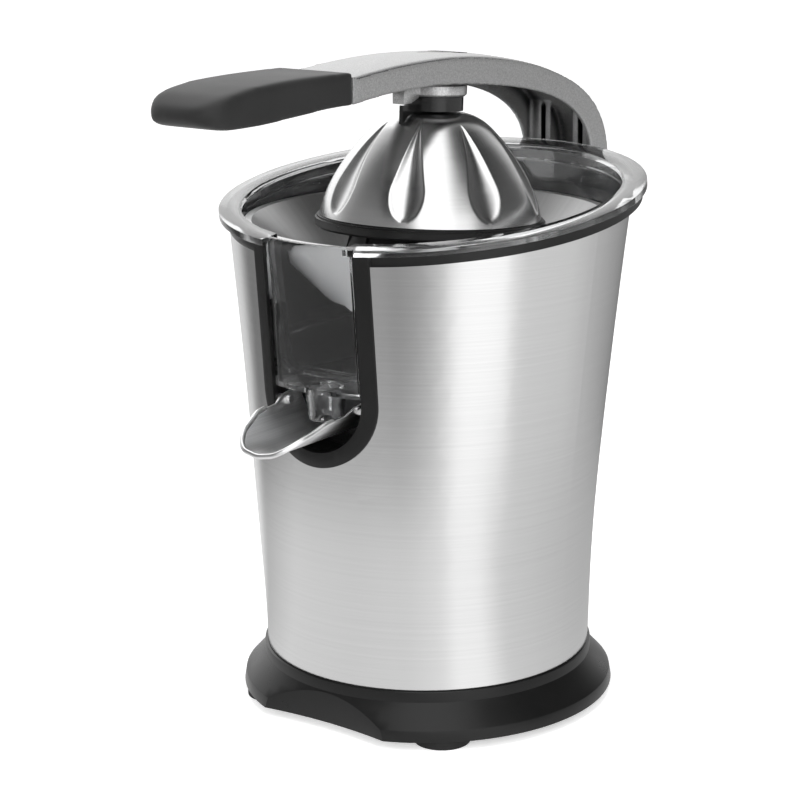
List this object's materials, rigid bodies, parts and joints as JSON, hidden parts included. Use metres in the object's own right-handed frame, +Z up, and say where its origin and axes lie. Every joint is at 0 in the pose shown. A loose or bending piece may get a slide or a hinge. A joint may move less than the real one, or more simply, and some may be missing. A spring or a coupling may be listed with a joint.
{
  "type": "lever citrus juice press",
  "caption": "Electric citrus press: a long lever with a domed cup pushes fruit onto a ribbed reamer in a clear bowl; the juice leaves by a tip-up spout.",
  "frame": {"origin": "on the table, in the middle of the four feet", "axes": "+Z up, the spout points to -Y, the lever hinges at +Y, X = 0 is the middle plane"},
  "size_m": [0.2, 0.3, 0.3068],
  "materials": {
    "soft_black_rubber": "matte",
    "black_satin_plastic": "satin",
    "screw_steel": "satin",
    "brushed_jacket_steel": "brushed round the body",
    "clear_bowl_plastic": "clear gloss",
    "sieve_steel": "brushed",
    "white_gearbox_plastic": "satin",
    "bronze_bush": "sintered",
    "motor_steel": "plain",
    "cast_aluminium": "cast",
    "copper_winding": "enamelled wire",
    "carbon": "matte",
    "silver_paint": "silver paint with a fine grain",
    "dark_insert_plastic": "gloss",
    "soft_black_grip": "soft matte",
    "polished_dome_steel": "polished",
    "polished_spout_steel": "polished"
  },
  "bodies": {
    "press_body": {"rubber_feet": "soft_black_rubber", "base_shell": "black_satin_plastic", "bottom_cover": "black_satin_plastic", "short_screws": "screw_steel", "long_screws": "screw_steel", "steel_jacket": "brushed_jacket_steel", "inner_housing": "black_satin_plastic", "cord_gland": "soft_black_rubber", "upper_trim_ring": "black_satin_plastic", "window_frame": "black_satin_plastic", "spout_pocket": "black_satin_plastic", "spout_pins": "screw_steel", "juice_bowl": "clear_bowl_plastic", "bowl_deck": "black_satin_plastic", "shaft_seal": "soft_black_rubber", "juice_sieve": "sieve_steel", "gearbox_housing": "white_gearbox_plastic", "gearbox_cover": "white_gearbox_plastic", "support_posts": "screw_steel", "output_bush": "bronze_bush", "idler_axle": "screw_steel", "start_switch": "black_satin_plastic", "motor_can": "motor_steel", "motor_end_bells": "cast_aluminium", "motor_bearings": "bronze_bush", "stator_stack": "motor_steel", "field_windings": "copper_winding", "carbon_brushes": "carbon", "brush_holders": "bronze_bush", "terminal_block": "white_gearbox_plastic", "hinge_housing": "black_satin_plastic", "hinge_pin": "screw_steel"},
    "lever": {"lever_arm": "silver_paint", "arm_insert": "dark_insert_plastic", "hinge_bushes": "white_gearbox_plastic", "grip_cover": "soft_black_grip", "grip_screws": "screw_steel", "dome_ring": "soft_black_rubber", "dome_shell": "polished_dome_steel", "dome_liner": "black_satin_plastic", "dome_stud": "screw_steel", "dome_boss": "silver_paint"},
    "latch_collar": {"latch_collar": "black_satin_plastic"},
    "spout": {"spout": "polished_spout_steel"},
    "press_carrier": {"press_sleeve": "white_gearbox_plastic", "return_spring": "screw_steel"},
    "reamer": {"drive_shaft": "screw_steel", "output_gear": "white_gearbox_plastic", "drive_coupling": "black_satin_plastic", "reamer": "black_satin_plastic"},
    "idler": {"idler_wheel": "white_gearbox_plastic", "idler_pinion": "screw_steel"},
    "motor_rotor": {"motor_shaft": "screw_steel", "motor_pinion": "bronze_bush", "rotor_stack": "motor_steel", "rotor_windings": "copper_winding", "commutator": "copper_winding", "cooling_fan": "white_gearbox_plastic"},
    "switch_plunger": {"switch_plunger": "white_gearbox_plastic"}
  },
  "joints": [
    {"name": "lever_hinge", "type": "hinge", "parent": "press_body", "child": "lever", "pos_m": [0, 0.122, 0.225], "axis": [-1, 0, 0], "range_deg": [0, 80]},
    {"name": "latch_turn", "type": "hinge", "parent": "lever", "child": "latch_collar", "pos_m": [0, 0.005, 0.226], "axis": [0, 0.0663, 0.9978], "range_deg": [0, 25]},
    {"name": "spout_tip", "type": "hinge", "parent": "press_body", "child": "spout", "pos_m": [0, -0.0775, 0.156], "axis": [-1, 0, 0], "range_deg": [0, 50]},
    {"name": "reamer_press", "type": "slide", "parent": "press_body", "child": "press_carrier", "axis": [0, 0, -1], "range_m": [0, 0.002], "stiffness_N_per_m": 4000, "springref_m": -0.002, "deforming": ["return_spring"]},
    {"name": "reamer_spin", "type": "hinge", "parent": "press_carrier", "child": "reamer", "pos_m": [0, 0.005, 0.2], "axis": [0, 0, 1], "continuous": true},
    {"name": "idler_spin", "type": "hinge", "parent": "press_body", "child": "idler", "pos_m": [0.03789, -0.01688, 0.105], "axis": [0, 0, 1], "continuous": true},
    {"name": "motor_spin", "type": "hinge", "parent": "press_body", "child": "motor_rotor", "pos_m": [0.0097, -0.02714, 0.06], "axis": [0, 0, 1], "continuous": true},
    {"name": "switch_travel", "type": "slide", "parent": "press_body", "child": "switch_plunger", "axis": [0, 0, -1], "range_m": [0, 0.002]}
  ],
  "couplings": [
    {"joint": "reamer_spin", "follows": "motor_spin", "ratio": 0.0625},
    {"joint": "idler_spin", "follows": "motor_spin", "ratio": -0.25},
    {"joint": "switch_travel", "follows": "reamer_press", "ratio": 1}
  ]
}
